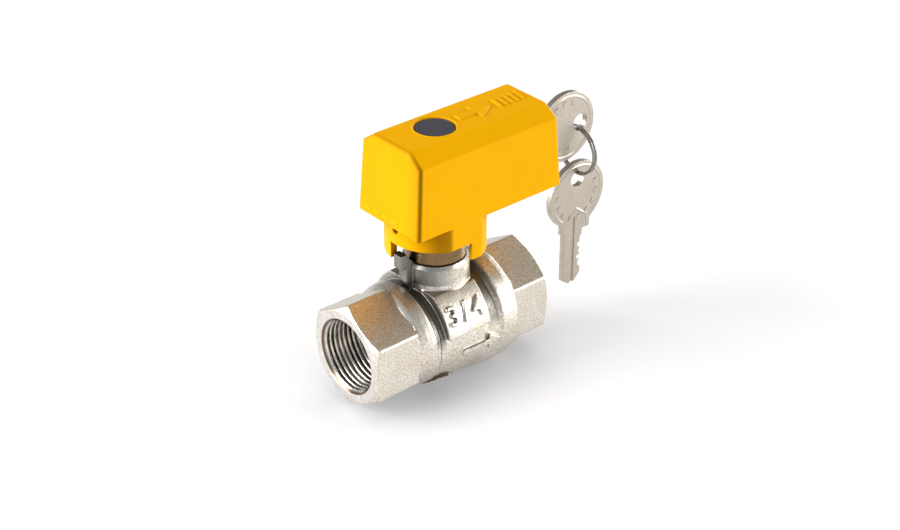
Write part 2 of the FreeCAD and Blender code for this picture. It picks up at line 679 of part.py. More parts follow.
def make_top_cap():
    return revolve("top_cap", "Z", [
        (D["cap_low_z"] - 4.0, D["well_r"] - 1.4),
        (D["cap_low_z"] - 4.0, D["well_r"] - 0.25),
        (D["cap_low_z"] + 0.02, D["well_r"] - 0.05),
        (D["cap_low_z"] + 0.02, D["cap_r"] - 0.04),
        (D["block_top_z"] - 0.45, D["cap_r"] - 0.04),
        (D["block_top_z"] - 0.1, D["cap_r"] - 0.35),
        (D["block_top_z"] - 0.1, 0),
        (D["cap_low_z"] + 0.6, 0),
        (D["cap_low_z"] + 0.6, D["well_r"] - 1.4),
    ])


def make_roll_pin():
    turned = revolve("pin_turned", "X", [
        (D["pin_out_x"], D["pin_r"] * 0.55),
        (D["pin_out_x"], D["pin_r"] - 0.2),
        (D["pin_out_x"] + 0.4, D["pin_r"]),
        (D["pin_in_x"] - 0.4, D["pin_r"]),
        (D["pin_in_x"], D["pin_r"] - 0.2),
        (D["pin_in_x"], D["pin_r"] * 0.55),
    ])
    split = box("pin_split", (40, 0.45, 3), (-30, -0.225, 0))
    item = cut("roll_pin", turned, [split])
    return place(item, (0, 0, D["pin_z"]))


# ---------------------------------------------------------------- lock
def make_lock_housing():
    turned = revolve("housing_turned", "X", [
        (D["lock_in_x"], D["plug_r"] + D["fit_gap"]),
        (D["lock_in_x"], D["lock_r"] - 0.3),
        (D["lock_in_x"] + 0.3, D["lock_r"]),
        (D["lock_flange_x"], D["lock_r"]),
        (D["lock_flange_x"], D["lock_flange_r"]),
        (D["lock_face_x"] - 0.5, D["lock_flange_r"]),
        (D["lock_face_x"], D["lock_flange_r"] - 0.5),
        (D["lock_face_x"], D["plug_r"] + D["fit_gap"]),
    ])
    dimple = cylinder("dimple", D["set_screw_r"] + 0.1, 3, (D["set_screw_x"], 0, -9.4))
    dimple_depth = D["set_screw_top_z"] - D["lock_z"] + 0.05
    bind(dimple, "Height", dimple_depth + 9.4)
    item = cut("lock_housing", turned, [dimple])
    return place(item, (0, 0, D["lock_z"]))


def make_lock_plug():
    turned = revolve("plug_turned", "X", [
        (D["plug_in_x"], 0),
        (D["plug_in_x"], D["plug_r"]),
        (D["clip_x"] - 0.05, D["plug_r"]),
        (D["clip_x"] - 0.05, D["clip_groove_r"]),
        (D["clip_x"] + D["clip_len"] + 0.05, D["clip_groove_r"]),
        (D["clip_x"] + D["clip_len"] + 0.05, D["plug_r"]),
        (D["plug_face_x"] - 0.4, D["plug_r"]),
        (D["plug_face_x"], D["plug_r"] - 0.4),
        (D["plug_face_x"], 0),
    ])
    reach = D["crank_e"] * math.sqrt(0.5)
    crank = cylinder(
        "crank_pin", D["crank_pin_r"], D["plug_in_x"] - D["crank_end_x"] + 0.4,
        (D["crank_end_x"], -reach, reach), X_AXIS)
    keyway = centred_box(
        "keyway", D["keyway_end_x"], 50, D["keyway_width"],
        -(D["keyway_height"] / 2.0), D["keyway_height"] / 2.0)
    item = cut("lock_plug", fuse("plug_blank", [turned, crank]), [keyway])
    return place(item, (0, 0, D["lock_z"]))


def make_plug_clip():
    turned = revolve("clip_turned", "X", [
        (D["clip_x"], D["clip_groove_r"] + 0.05),
        (D["clip_x"], D["clip_out_r"]),
        (D["clip_x"] + D["clip_len"], D["clip_out_r"]),
        (D["clip_x"] + D["clip_len"], D["clip_groove_r"] + 0.05),
    ])
    mouth = box("clip_mouth", (5, 5.0, 9), (D["clip_x"] - 2.0, -2.5, -9))
    item = cut("plug_clip", turned, [mouth])
    return place(item, (0, 0, D["lock_z"]))


def make_lock_bolt():
    """Flat bolt: narrow tip below, wide yoke above with a level slot for the crank pin."""
    left = D["bolt_x"]
    right = D["bolt_x"] + D["bolt_thick"]
    tip = centred_box("bolt_tip", left, right, D["bolt_tip_width"], D["bolt_tip_z"], D["bolt_top_z"] - 4.0)
    yoke = centred_box(
        "bolt_yoke", left, right, D["bolt_width"], D["bolt_shoulder_z"], D["bolt_top_z"])
    pin_height = D["lock_z"] + D["crank_e"] * math.sqrt(0.5)
    slot = box(
        "yoke_slot", (10, 5.2, D["bolt_slot_half"] * 2.0),
        (left - 2.0, -5.2, pin_height - D["bolt_slot_half"]))
    return cut("lock_bolt", fuse("bolt_blank", [tip, yoke]), [slot])


def make_set_screw():
    low = D["block_low_z"] + 0.2
    turned = revolve("set_screw_turned", "Z", [
        (low, 0),
        (low, D["set_screw_r"] - 0.3),
        (low + 0.3, D["set_screw_r"]),
        (D["set_screw_top_z"] - 0.6, D["set_screw_r"]),
        (D["set_screw_top_z"], D["set_screw_r"] - 0.6),
        (D["set_screw_top_z"], 0),
    ])
    socket = prism("set_screw_socket", 2.0, 3, (0, 0, low - 1.0))
    item = cut("lock_set_screw", turned, [socket])
    return place(item, (D["set_screw_x"], 0, 0))


# ---------------------------------------------------------------- keys
def make_key(name):
    """Key lying along +X from its shoulder, cut side towards -Z, bow centre on the X axis."""
    centre = D["key_head_len"] - D["bow_r"]
    half_thick = D["key_thick"] / 2.0
    bow = cylinder(name + "_bow", D["bow_r"], D["key_thick"], (centre, -half_thick, 0), Y_AXIS)
    neck = pad(name + "_neck", "XZ_Plane", [
        (0, -D["key_shoulder_half"]),
        (D["key_neck_len"], -D["key_shoulder_half"]),
        (D["key_neck_len"] + 3.4, -8.6),
        (D["key_neck_len"] + 3.4, 8.6),
        (D["key_neck_len"], D["key_shoulder_half"]),
        (0, D["key_shoulder_half"]),
    ], D["key_thick"])
    low = -D["blade_high"]
    high = -D["blade_low"]
    tip = -D["blade_len"]
    cuts = [(-3.6, 0.9), (-6.2, 1.9), (-8.8, 1.2), (-11.4, 2.3), (-14.0, 1.5)]
    edge = [(2.0, low), (-2.3, low)]
    for place_x, depth in cuts:
        edge.append((place_x + 0.55, low + depth))
        edge.append((place_x - 0.55, low + depth))
        edge.append((place_x - 1.3, low + 0.35))
    blade_points = edge + [
        (tip + 3.0, low + 0.35), (tip, low + 3.2), (tip, high - 2.6), (tip + 1.8, high), (2.0, high)]
    blade = pad(name + "_blade", "XZ_Plane", blade_points, D["key_thick"])
    hole = cylinder(
        name + "_hole", D["key_hole_r"], 10, (D["key_head_len"] - D["key_hole_edge"], -5, 0), Y_AXIS)
    mid = (low + high) / 2.0
    grooves = [
        box(name + "_groove_front", (D["blade_len"] + 7.0, 2.0, 1.2),
            (tip - 1.0, -(half_thick + 1.4), mid - 0.6)),
        box(name + "_groove_back", (D["blade_len"] + 7.0, 2.0, 1.2),
            (tip - 1.0, half_thick - 0.6, mid - 0.6)),
    ]
    return cut(name, fuse(name + "_blank", [bow, neck, blade]), [hole] + grooves)


def ring_top():
    return D["lock_z"] - D["key_offset"] - D["hang"]


def hole_x():
    return D["key_shoulder_x"] + D["key_head_len"] - D["key_hole_edge"]


def make_key_in_lock():
    item = make_key("key_1")
    return place(item, (D["key_shoulder_x"], 0, D["lock_z"] - D["key_offset"]))


def make_split_ring():
    """Two-turn coil of round wire, its axis along X, ends at the back of the ring."""
    pitch = D["coil_pitch"].value
    radius = D["coil_r"].value
    wire_r = D["wire_r"].value
    spine = Part.makeHelix(pitch, 2.0 * pitch, radius)
    profile = Part.Wire([Part.makeCircle(wire_r, FreeCAD.Vector(radius, 0, 0), FreeCAD.Vector(0, 1, 0))])
    item = doc.addObject("Part::Feature", "split_ring")
    item.Shape = Part.Wire(spine).makePipeShell([profile], True, True)
    upright = FreeCAD.Rotation(FreeCAD.Vector(1, 1, 1), 120)
    return place(item, (hole_x() - D["coil_pitch"], 0, ring_top() - D["coil_r"]), upright)


def make_hanging_key():
    item = make_key("key_2")
    height = ring_top() - D["coil_r"] * 2.0 - D["hang"]
    upright = FreeCAD.Rotation(FreeCAD.Vector(0, 1, 0), -90)
    low = height - (D["key_head_len"] - D["key_hole_edge"])
    return place(item, (hole_x(), 0, low), upright)


piece(make_body(), "body")
piece(make_end_connector(), "end_connector")
piece(make_connector_seal(), "connector_seal")
piece(make_ball(), "ball")
piece(seat("seat_near", -1.0), "seat_near")
piece(seat("seat_far", 1.0), "seat_far")
piece(make_thrust_washer(), "thrust_washer")
piece(make_stem(), "stem")
piece(make_oring("stem_o_ring_lower", D["oring_low_z"]), "stem_o_ring_lower")
piece(make_oring("stem_o_ring_upper", D["oring_high_z"]), "stem_o_ring_upper")
piece(make_gland_packing(), "gland_packing")
piece(make_locking_ring(), "locking_ring")
piece(make_lock_head(), "lock_head")
piece(make_head_washer(), "head_washer")
piece(make_head_screw(), "head_screw")
piece(make_top_cap(), "top_cap")
piece(make_roll_pin(), "roll_pin")
piece(make_lock_housing(), "lock_housing")
piece(make_lock_plug(), "lock_plug")
piece(make_plug_clip(), "plug_clip")
piece(make_lock_bolt(), "lock_bolt")
piece(make_set_screw(), "lock_set_screw")
piece(make_key_in_lock(), "key_1")
piece(make_split_ring(), "split_ring")
piece(make_hanging_key(), "key_2")
doc.recompute()

for item in doc.Objects:
    if "Invalid" in item.State or "Error" in item.State:
        raise RuntimeError("%s is %s" % (item.Name, item.State))
for item in PIECES:
    shape = item.Shape
    if shape.isNull() or not shape.isValid() or len(shape.Solids) != 1:
        raise RuntimeError("%s is not one valid solid (%d)" % (item.Label, len(shape.Solids)))
    shape.exportStep("parts/%s.step" % item.Label)
    print("%-20s %9.1f mm3" % (item.Label, shape.Volume))
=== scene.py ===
import json
import math

import bmesh
import bpy
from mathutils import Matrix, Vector, noise
from mathutils.bvhtree import BVHTree


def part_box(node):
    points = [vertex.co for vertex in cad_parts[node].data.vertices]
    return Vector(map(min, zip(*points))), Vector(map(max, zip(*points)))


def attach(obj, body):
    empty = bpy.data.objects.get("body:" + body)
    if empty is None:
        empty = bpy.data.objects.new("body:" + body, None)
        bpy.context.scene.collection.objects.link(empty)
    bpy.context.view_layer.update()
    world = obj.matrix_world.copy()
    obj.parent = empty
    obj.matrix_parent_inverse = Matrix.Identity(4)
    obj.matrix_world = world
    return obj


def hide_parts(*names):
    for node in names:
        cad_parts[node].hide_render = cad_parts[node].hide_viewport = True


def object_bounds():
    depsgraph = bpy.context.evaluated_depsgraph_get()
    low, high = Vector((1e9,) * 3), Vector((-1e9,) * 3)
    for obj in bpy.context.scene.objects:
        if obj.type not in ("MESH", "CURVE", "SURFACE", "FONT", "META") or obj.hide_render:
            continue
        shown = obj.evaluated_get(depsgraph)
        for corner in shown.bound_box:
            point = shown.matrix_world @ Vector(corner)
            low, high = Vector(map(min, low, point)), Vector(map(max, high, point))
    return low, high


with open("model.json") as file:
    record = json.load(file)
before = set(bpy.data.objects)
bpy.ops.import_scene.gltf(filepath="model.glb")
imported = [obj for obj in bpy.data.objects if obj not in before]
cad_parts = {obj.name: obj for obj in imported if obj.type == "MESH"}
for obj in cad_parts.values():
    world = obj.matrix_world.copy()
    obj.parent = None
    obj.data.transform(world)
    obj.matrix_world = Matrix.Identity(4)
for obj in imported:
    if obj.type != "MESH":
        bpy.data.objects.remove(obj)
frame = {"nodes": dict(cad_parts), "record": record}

# Everything is in metres, in the CAD's frame: +X along the pipe, +Z up the stem.
MM = 0.001
CAD_BOX = [list(corner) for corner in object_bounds()]
NODES = frame["nodes"]
SCENE = bpy.context.scene

# The camera: where it looks, from which side, how far and how long its lens is.
LOOK_AT = Vector((6.31, 0.0, 17.67)) * MM
CAMERA_TURN = math.radians(40.24)
CAMERA_RISE = math.radians(30.94)
CAMERA_DISTANCE = 587.3 * MM
LENS_MM = 70.47
SENSOR_MM = 36.0

FLOOR_Z = CAD_BOX[0][2]
FLOOR_HALF = 3.0
FLOOR_GLOW = 0.48

# The studio: greys of the sky away from and towards its dark side.
DARK_SIDE = Vector((0.55, 0.10, 0.83))
WORLD_STOPS = ((0.10, (0.70, 0.73, 0.78)), (0.55, (0.28, 0.29, 0.31)), (0.90, (0.40, 0.365, 0.31)))

# Places that the materials and pieces need: the first ones from the nodes' boxes, the rest as in the CAD.
PIPE_LOW, PIPE_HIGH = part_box("end_connector")[0].x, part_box("body")[1].x
PIPE_MIDDLE = (PIPE_LOW + PIPE_HIGH) / 2.0
PIPE_HALF = (PIPE_HIGH - PIPE_LOW) / 2.0
HEAD_NEAR_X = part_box("lock_head")[0].x
THREAD_R = 13.35 * MM
RIM_R = 16.0 * MM
RIM_DEPTH = 0.12 * MM
BARREL_R = 21.5 * MM

# The head: its block's low edge, its near end's lean, its half width and how far in the shade line lies.
HEAD_LOW_Z = 42.4 * MM
HEAD_LEAN = 1.85 / 28.6
HEAD_HALF = 15.5 * MM
SHADE_LINE = 0.8 * MM

# How strong the painted shade band on the skirt is, by the share of 20 mm from the stem towards the near
# port.
SKIRT_SHADE_BAND = ((0.25, 0.0), (0.32, 0.90), (0.50, 1.0), (0.62, 0.60), (0.80, 0.0))

# The grooves beside the saddle plate, as middles and half widths in x, and where the painted shade on the lug
# side begins.
NEAR_GROOVE = (-12.5 * MM, 2.2 * MM)
FAR_GROOVE = (9.8 * MM, 2.6 * MM)
NECK_FOOT_Z = 18.6 * MM
LUG_NEAR_X = -17.4 * MM

# ---------------------------------------------------------------- node helpers
class Graph:
    """A material's node tree, with short names for the nodes used here."""

    def __init__(self, name):
        self.material = bpy.data.materials.new(name)
        self.material.use_nodes = True
        self.tree = self.material.node_tree
        self.tree.nodes.clear()
        self.output = self.tree.nodes.new("ShaderNodeOutputMaterial")
        self.shader = self.tree.nodes.new("ShaderNodeBsdfPrincipled")
        self.link(self.shader.outputs["BSDF"], self.output.inputs["Surface"])
        self.coords = self.tree.nodes.new("ShaderNodeTexCoord").outputs["Object"]

    def link(self, source, target):
        self.tree.links.new(source, target)

    def feed(self, socket, value):
        if isinstance(value, bpy.types.NodeSocket):
            self.link(value, socket)
        else:
            socket.default_value = value

    def set(self, **values):
        for name, value in values.items():
            self.feed(self.shader.inputs[name.replace("_", " ")], value)

    def math(self, operation, first, second=0.0, third=0.0):
        node = self.tree.nodes.new("ShaderNodeMath")
        node.operation = operation
        for socket, value in zip(node.inputs, (first, second, third)):
            self.feed(socket, value)
        return node.outputs[0]

    def share(self, length, span_mm):
        """A length as a share of a span in mm, for a ramp's 0 to 1."""
        return self.math("MULTIPLY", length, 1.0 / (span_mm * MM))

    def noise(self, size_mm, detail=3.0, rough=0.55, stretch=(1, 1, 1), seed=0.0):
        mapping = self.tree.nodes.new("ShaderNodeMapping")
        mapping.inputs["Scale"].default_value = stretch
        mapping.inputs["Location"].default_value = (seed, seed * 0.7, seed * 1.3)
        self.link(self.coords, mapping.inputs["Vector"])
        node = self.tree.nodes.new("ShaderNodeTexNoise")
        node.inputs["Scale"].default_value = 1.0 / (size_mm * MM)
        node.inputs["Detail"].default_value = detail
        node.inputs["Roughness"].default_value = rough
        self.link(mapping.outputs["Vector"], node.inputs["Vector"])
        return node.outputs["Fac"]

    def ramp(self, value, stops):
        """Piecewise colour or grey from (position, colour) stops."""
        node = self.tree.nodes.new("ShaderNodeValToRGB")
        elements = node.color_ramp.elements
        while len(elements) < len(stops):
            elements.new(0.5)
        for element, (position, colour) in zip(elements, stops):
            element.position = position
            if isinstance(colour, float):
                colour = (colour, colour, colour)
            element.color = (*colour, 1.0)
        self.link(value, node.inputs["Fac"])
        return node.outputs["Color"]

    def mix(self, factor, first, second, blend="MIX"):
        node = self.tree.nodes.new("ShaderNodeMix")
        node.data_type = "RGBA"
        node.blend_type = blend
        self.feed(node.inputs["Factor"], factor)
        for socket, value in ((node.inputs["A"], first), (node.inputs["B"], second)):
            if isinstance(value, tuple):
                value = (*value, 1.0)
            self.feed(socket, value)
        return node.outputs["Result"]

    def split(self):
        node = self.tree.nodes.new("ShaderNodeSeparateXYZ")
        self.link(self.coords, node.inputs["Vector"])
        return node.outputs

    def crevice(self, reach_mm):
        """0 in the open, 1 deep in a groove or corner, judged by how much nearby surface hides it."""
        node = self.tree.nodes.new("ShaderNodeAmbientOcclusion")
        node.samples = 8
        node.inputs["Distance"].default_value = reach_mm * MM
        return self.math("SUBTRACT", 1.0, node.outputs["AO"])

    def bump(self, height, depth_mm, below=None):
        node = self.tree.nodes.new("ShaderNodeBump")
        node.inputs["Strength"].default_value = 1.0
        node.inputs["Distance"].default_value = depth_mm * MM
        self.link(height, node.inputs["Height"])
        if below is not None:
            self.link(below, node.inputs["Normal"])
        return node.outputs["Normal"]


def distance_from_axis(graph, first, second):
    squares = graph.math("ADD", graph.math("MULTIPLY", first, first), graph.math("MULTIPLY", second, second))
    return graph.math("SQRT", squares)


# ---------------------------------------------------------------- materials
CAST_STOPS = ((0.35, (0.40, 0.355, 0.285)), (0.47, (0.67, 0.63, 0.56)), (0.62, (0.87, 0.84, 0.77)))
CREST_STOPS = ((0.3, (0.66, 0.61, 0.55)), (0.7, (0.84, 0.81, 0.76)))
# The casting's own rust, then painted shade: browns in thread roots and deep in the ports, greys where other
# surfaces hide the casting, on the lug side, in the side grooves and in crevices.
RUST, THREAD_SHADE_BROWN, PORT_SHADE_BROWN = (0.40, 0.28, 0.18), (0.17, 0.115, 0.075), (0.10, 0.065, 0.04)
SHELTER_SHADE_GREY, LUG_SHADE_GREY = (0.13, 0.12, 0.105), (0.16, 0.16, 0.145)
GROOVE_SHADE_GREY, CREVICE_SHADE_GREY = (0.11, 0.105, 0.088), (0.060, 0.055, 0.048)
TURNING_MM = 0.16
PAINT_STOPS = ((0.3, (0.78, 0.372, 0.0)), (0.7, (0.80, 0.390, 0.0)))
# Painted shade yellows: in a band on the skirt, under the block, in crevices and along the near end's shade
# line.
SKIRT_SHADE_YELLOW, HIDDEN_SHADE_YELLOW = (0.35, 0.155, 0.0), (0.33, 0.13, 0.0)
CREVICE_SHADE_YELLOW, SHADE_LINE_YELLOW = (0.25, 0.09, 0.0), (0.20, 0.085, 0.0)


def cast_surface(g, grain):
    """The blasted casting in the open: fine grain, rusty specks and large warm patches."""
    specks = g.ramp(g.noise(0.9, detail=2.0, rough=0.8, seed=3.0), [(0.60, 0.0), (0.70, 0.5)])
    rusty = g.mix(specks, g.ramp(grain, CAST_STOPS), RUST)
    warm = g.ramp(g.noise(7.0, detail=3.0), [(0.35, (1.0, 1.0, 1.0)), (0.7, (0.95, 0.91, 0.85))])
    return g.mix(1.0, rusty, warm, "MULTIPLY")


def paint_sheltered_shade(g, colour, z):
    """Painted shade where other surfaces hide the casting, above the belly."""
    above_belly = g.ramp(g.math("ADD", g.share(z, 20.0), 0.5), [(0.15, 0.0), (0.55, 1.0)])
    hidden_shade = g.ramp(g.crevice(22.0), [(0.24, 0.0), (0.50, 0.80)])
    return g.mix(g.math("MULTIPLY", hidden_shade, above_belly), colour, SHELTER_SHADE_GREY)


def paint_lug_side_shade(g, colour, x, z):
    """Painted shade on the stop lug and the side of the neck towards it."""
    above_foot = g.math("GREATER_THAN", z, NECK_FOOT_Z)
    around_stem = g.math("MULTIPLY", above_foot, g.math("GREATER_THAN", x, LUG_NEAR_X))
    lug_side_shade = g.ramp(g.share(x, -16.0), [(0.0, 0.0), (0.50, 0.84)])
    return g.mix(g.math("MULTIPLY", around_stem, lug_side_shade), colour, LUG_SHADE_GREY)


def paint_side_groove_shade(g, colour, x, z, radius):
    """Painted shade in the two grooves beside the saddle plate, above the pipe's middle."""
    below_plate = g.ramp(g.share(radius, 25.0), [(0.778, 1.0), (0.800, 0.0)])
    near_groove, far_groove = (
        g.math("SUBTRACT", half_width, g.math("ABSOLUTE", g.math("SUBTRACT", x, middle)))
        for middle, half_width in (NEAR_GROOVE, FAR_GROOVE)
    )
    into_groove = g.share(g.math("MAXIMUM", near_groove, far_groove), 1.0)
    beside_plate = g.ramp(into_groove, [(0.0, 0.0), (0.5, 1.0)])
    above_middle = g.ramp(g.share(z, 20.0), [(0.02, 0.0), (0.22, 0.85)])
    groove_shade = g.math("MULTIPLY", g.math("MULTIPLY", below_plate, beside_plate), above_middle)
    return g.mix(groove_shade, colour, GROOVE_SHADE_GREY)


def threaded_port(g, crest, radius):
    """Turned metal inside a port: bright thread crests, and painted shade in brown between them and deeper
    inside.
    """
    in_groove = g.ramp(g.share(radius, 20.0), [(0.612, 0.0), (0.640, 1.0)])
    threads = g.mix(in_groove, crest, THREAD_SHADE_BROWN)
    return g.mix(g.ramp(g.crevice(22.0), [(0.42, 0.0), (0.78, 0.88)]), threads, PORT_SHADE_BROWN)


def cast_nickel():
    """Shot-blasted casting under satin nickel: machined ports, and painted shade on the lug side, in the side
    grooves, in crevices, in the ports and where other surfaces hide it.
    """
    g = Graph("cast_nickel")
    x, y, z = g.split()
    radius = distance_from_axis(g, y, z)
    grain = g.noise(0.55, detail=4.0, rough=0.7)
    # Painted shade where other surfaces hide the casting, on the lug side and in the side grooves.
    sheltered_shade = paint_sheltered_shade(g, cast_surface(g, grain), z)
    darkened = paint_side_groove_shade(g, paint_lug_side_shade(g, sheltered_shade, x, z), x, z, radius)
    # Painted shade in small crevices.
    cast_colour = g.mix(g.ramp(g.crevice(1.3), [(0.20, 0.0), (0.50, 0.92)]), darkened, CREVICE_SHADE_GREY)
    crest = g.ramp(g.noise(1.5), CREST_STOPS)
    in_thread = g.math("LESS_THAN", radius, THREAD_R)
    from_middle = g.math("ABSOLUTE", g.math("SUBTRACT", x, PIPE_MIDDLE))
    end_face = g.math("GREATER_THAN", from_middle, PIPE_HALF - RIM_DEPTH)
    rim = g.math("MULTIPLY", g.math("LESS_THAN", radius, RIM_R), end_face)
    machined = g.math("MAXIMUM", in_thread, rim)
    machined_colour = g.mix(in_thread, crest, threaded_port(g, crest, radius))
    g.set(
        Metallic=1.0,
        Base_Color=g.mix(machined, cast_colour, machined_colour),
        Roughness=g.mix(machined, g.ramp(grain, [(0.3, 0.46), (0.7, 0.30)]), (0.20, 0.20, 0.20)),
    )
    turning = g.math("SINE", g.math("MULTIPLY", radius, 2.0 * math.pi / (TURNING_MM * MM)))
    blasted = g.bump(grain, 0.038, g.bump(g.noise(2.6, detail=2.0), 0.06))
    g.set(Normal=g.mix(machined, blasted, g.bump(turning, 0.004)))
    return g.material


def yellow_paint():
    """Smooth powder coat, with a painted shade line along the near end's outline and painted shade in a band
    on the skirt, under the block and in crevices.
    """
    g = Graph("yellow_paint")
    x, y, z = g.split()
    peel = g.noise(1.1, detail=2.0)
    paint = g.ramp(g.noise(14.0, detail=2.0), PAINT_STOPS)
    # Painted shade line along the near end's outline, stronger towards the -y side.
    lean = g.math("MULTIPLY", g.math("SUBTRACT", z, HEAD_LOW_Z), HEAD_LEAN)
    upright = g.math("SUBTRACT", x, lean)
    from_line = g.math("ABSOLUTE", g.math("SUBTRACT", upright, HEAD_NEAR_X + SHADE_LINE))
    in_line = g.ramp(g.share(from_line, 2.0), [(0.12, 1.0), (0.46, 0.0)])
    on_block = g.math("GREATER_THAN", z, HEAD_LOW_Z + 0.1 * MM)
    toward_side = g.ramp(g.math("MULTIPLY", y, -1.0 / HEAD_HALF), [(0.55, 0.42), (0.95, 0.92)])
    shade = g.math("MULTIPLY", g.math("MULTIPLY", in_line, on_block), toward_side)
    under_block = g.math("LESS_THAN", z, HEAD_LOW_Z)
    # Painted shade under the block's overhang.
    hidden_shade = g.math("MULTIPLY", under_block, g.ramp(g.crevice(9.0), [(0.06, 0.0), (0.28, 0.85)]))
    # Painted shade in a band on the skirt towards the near end.
    skirt_shade = g.ramp(g.share(x, -20.0), SKIRT_SHADE_BAND)
    skirt_shaded = g.mix(g.math("MULTIPLY", under_block, skirt_shade), paint, SKIRT_SHADE_YELLOW)
    shaded = g.mix(hidden_shade, skirt_shaded, HIDDEN_SHADE_YELLOW)
    # Painted shade in small crevices, such as round the raised marks.
    crevice_shaded = g.mix(g.ramp(g.crevice(1.4), [(0.12, 0.0), (0.42, 0.85)]), shaded, CREVICE_SHADE_YELLOW)
    g.set(
        Base_Color=g.mix(shade, crevice_shaded, SHADE_LINE_YELLOW),
        Roughness=g.ramp(peel, [(0.3, 0.44), (0.7, 0.36)]),
        Specular_IOR_Level=0.03,
        Normal=g.bump(peel, 0.006, g.bump(g.noise(5.0), 0.02)),
    )
    return g.material


def grey_plastic():
    g = Graph("grey_plastic")
    grain = g.noise(0.25, detail=3.0)
    g.set(
        Base_Color=g.ramp(grain, [(0.35, (0.028, 0.030, 0.043)), (0.65, (0.046, 0.049, 0.064))]),
        Roughness=g.ramp(grain, [(0.3, 0.55), (0.7, 0.45)]),
        Normal=g.bump(grain, 0.012),
    )
    return g.material


def metal(name, low, high, rough, streak=(1, 1, 1), size_mm=1.0, depth_mm=0.006):
    """Plain metal with fine streaks or grain."""
    g = Graph(name)
    grain = g.noise(size_mm, detail=4.0, rough=0.6, stretch=streak)
    stains = g.noise(4.0, detail=2.0)
    darkened = g.ramp(stains, [(0.35, 0.0), (0.75, 0.35)])
    g.set(
        Metallic=1.0,
        Base_Color=g.mix(darkened, g.ramp(grain, [(0.3, low), (0.7, high)]), low),
        Roughness=g.ramp(grain, [(0.3, rough + 0.10), (0.7, max(rough - 0.06, 0.05))]),
        Normal=g.bump(grain, depth_mm),
    )
    return g.material


def soft_solid(name, low, high, rough, size_mm=0.5, depth_mm=0.01):
    """Plastic, PTFE, rubber or sealant."""
    g = Graph(name)
    grain = g.noise(size_mm, detail=3.0)
    g.set(
        Base_Color=g.ramp(grain, [(0.3, low), (0.7, high)]),
        Roughness=g.ramp(grain, [(0.3, rough + 0.08), (0.7, rough - 0.05)]),
        Normal=g.bump(grain, depth_mm),
    )
    return g.material


MATERIALS = {
    "nickel_brass": cast_nickel(),
    "ball_chrome": metal("ball_chrome", (0.72, 0.72, 0.74), (0.86, 0.86, 0.88), 0.10),
    "bare_brass": metal(
        "bare_brass", (0.15, 0.09, 0.04), (0.29, 0.195, 0.10), 0.30, (0.3, 0.3, 6.0), 0.8, 0.01),
    "yellow_paint": yellow_paint(),
    "grey_plastic": grey_plastic(),
    "white_ptfe": soft_solid("white_ptfe", (0.72, 0.72, 0.68), (0.84, 0.84, 0.80), 0.42),
    "brown_sealant": soft_solid("brown_sealant", (0.02, 0.012, 0.006), (0.10, 0.065, 0.03), 0.75, 0.8, 0.08),
    "black_rubber": soft_solid("black_rubber", (0.012, 0.012, 0.012), (0.03, 0.03, 0.03), 0.6),
    "steel": metal("steel", (0.20, 0.19, 0.18), (0.38, 0.37, 0.35), 0.26),
    "lock_nickel": metal("lock_nickel", (0.58, 0.56, 0.52), (0.76, 0.74, 0.70), 0.24),
    "key_nickel": metal("key_nickel", (0.44, 0.39, 0.325), (0.60, 0.55, 0.475), 0.34, (1, 1, 1), 0.6, 0.006),
}


def dress(obj, slot_name):
    obj.data.materials.clear()
    obj.data.materials.append(MATERIALS[slot_name])


SLOT_OF = {part["node"]: part["material_slot"] for part in frame["record"]["subparts"]}
BODY_OF = {
    node: body
    for body, nodes in frame["record"]["behaviour"]["bodies"].items()
    for node in nodes
}
for node_name, node in NODES.items():
    for material_slot in node.material_slots:
        material_slot.material = MATERIALS[SLOT_OF[node_name]]


# ---------------------------------------------------------------- mesh helpers
def link_new(name, mesh, like=None):
    obj = bpy.data.objects.new(name, mesh)
    if like is not None:
        obj.matrix_world = like.matrix_world
    SCENE.collection.objects.link(obj)
    return obj


def apply_modifiers(obj):
    """Replaces an object's mesh by its evaluated one."""
    graph = bpy.context.evaluated_depsgraph_get()
    mesh = bpy.data.meshes.new_from_object(obj.evaluated_get(graph))
    obj.modifiers.clear()
    obj.data = mesh


def weights(obj, name, rule):
    """A vertex group whose weight at each vertex is rule(position in mm)."""
    group = obj.vertex_groups.new(name=name)
    for vertex in obj.data.vertices:
        group.add((vertex.index,), rule(vertex.co / MM), "REPLACE")
    return group.name


def soften(obj, voxel_mm, rounds, rule):
    """Remeshes at a voxel size, then rounds edges where rule says so."""
    remesh = obj.modifiers.new("voxels", "REMESH")
    remesh.mode = "VOXEL"
    remesh.voxel_size = voxel_mm * MM
    apply_modifiers(obj)
    smooth = obj.modifiers.new("soft_edges", "SMOOTH")
    smooth.factor = 0.5
    smooth.iterations = rounds
    smooth.vertex_group = weights(obj, "soft", rule)
    apply_modifiers(obj)


def thin_out(obj, ratio):
    decimate = obj.modifiers.new("thin_out", "DECIMATE")
    decimate.ratio = ratio
    apply_modifiers(obj)


def smooth_shading(obj, angle_deg=40.0):
    mesh = obj.data
    mesh.shade_smooth()
    mesh.set_sharp_from_angle(angle=math.radians(angle_deg))


def finish_piece(obj, node, slot_name):
    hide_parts(node)
    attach(obj, BODY_OF[node])
    dress(obj, slot_name)


# ---------------------------------------------------------------- marks on the body
MARK_DEPTH = 0.6 * MM
LETTER_BODY = 0.7
LETTER_SPACING = 1.3
LETTER_FATTER = 0.17 * MM
ARROW_STEPS = 12
RAY_START = 1.4


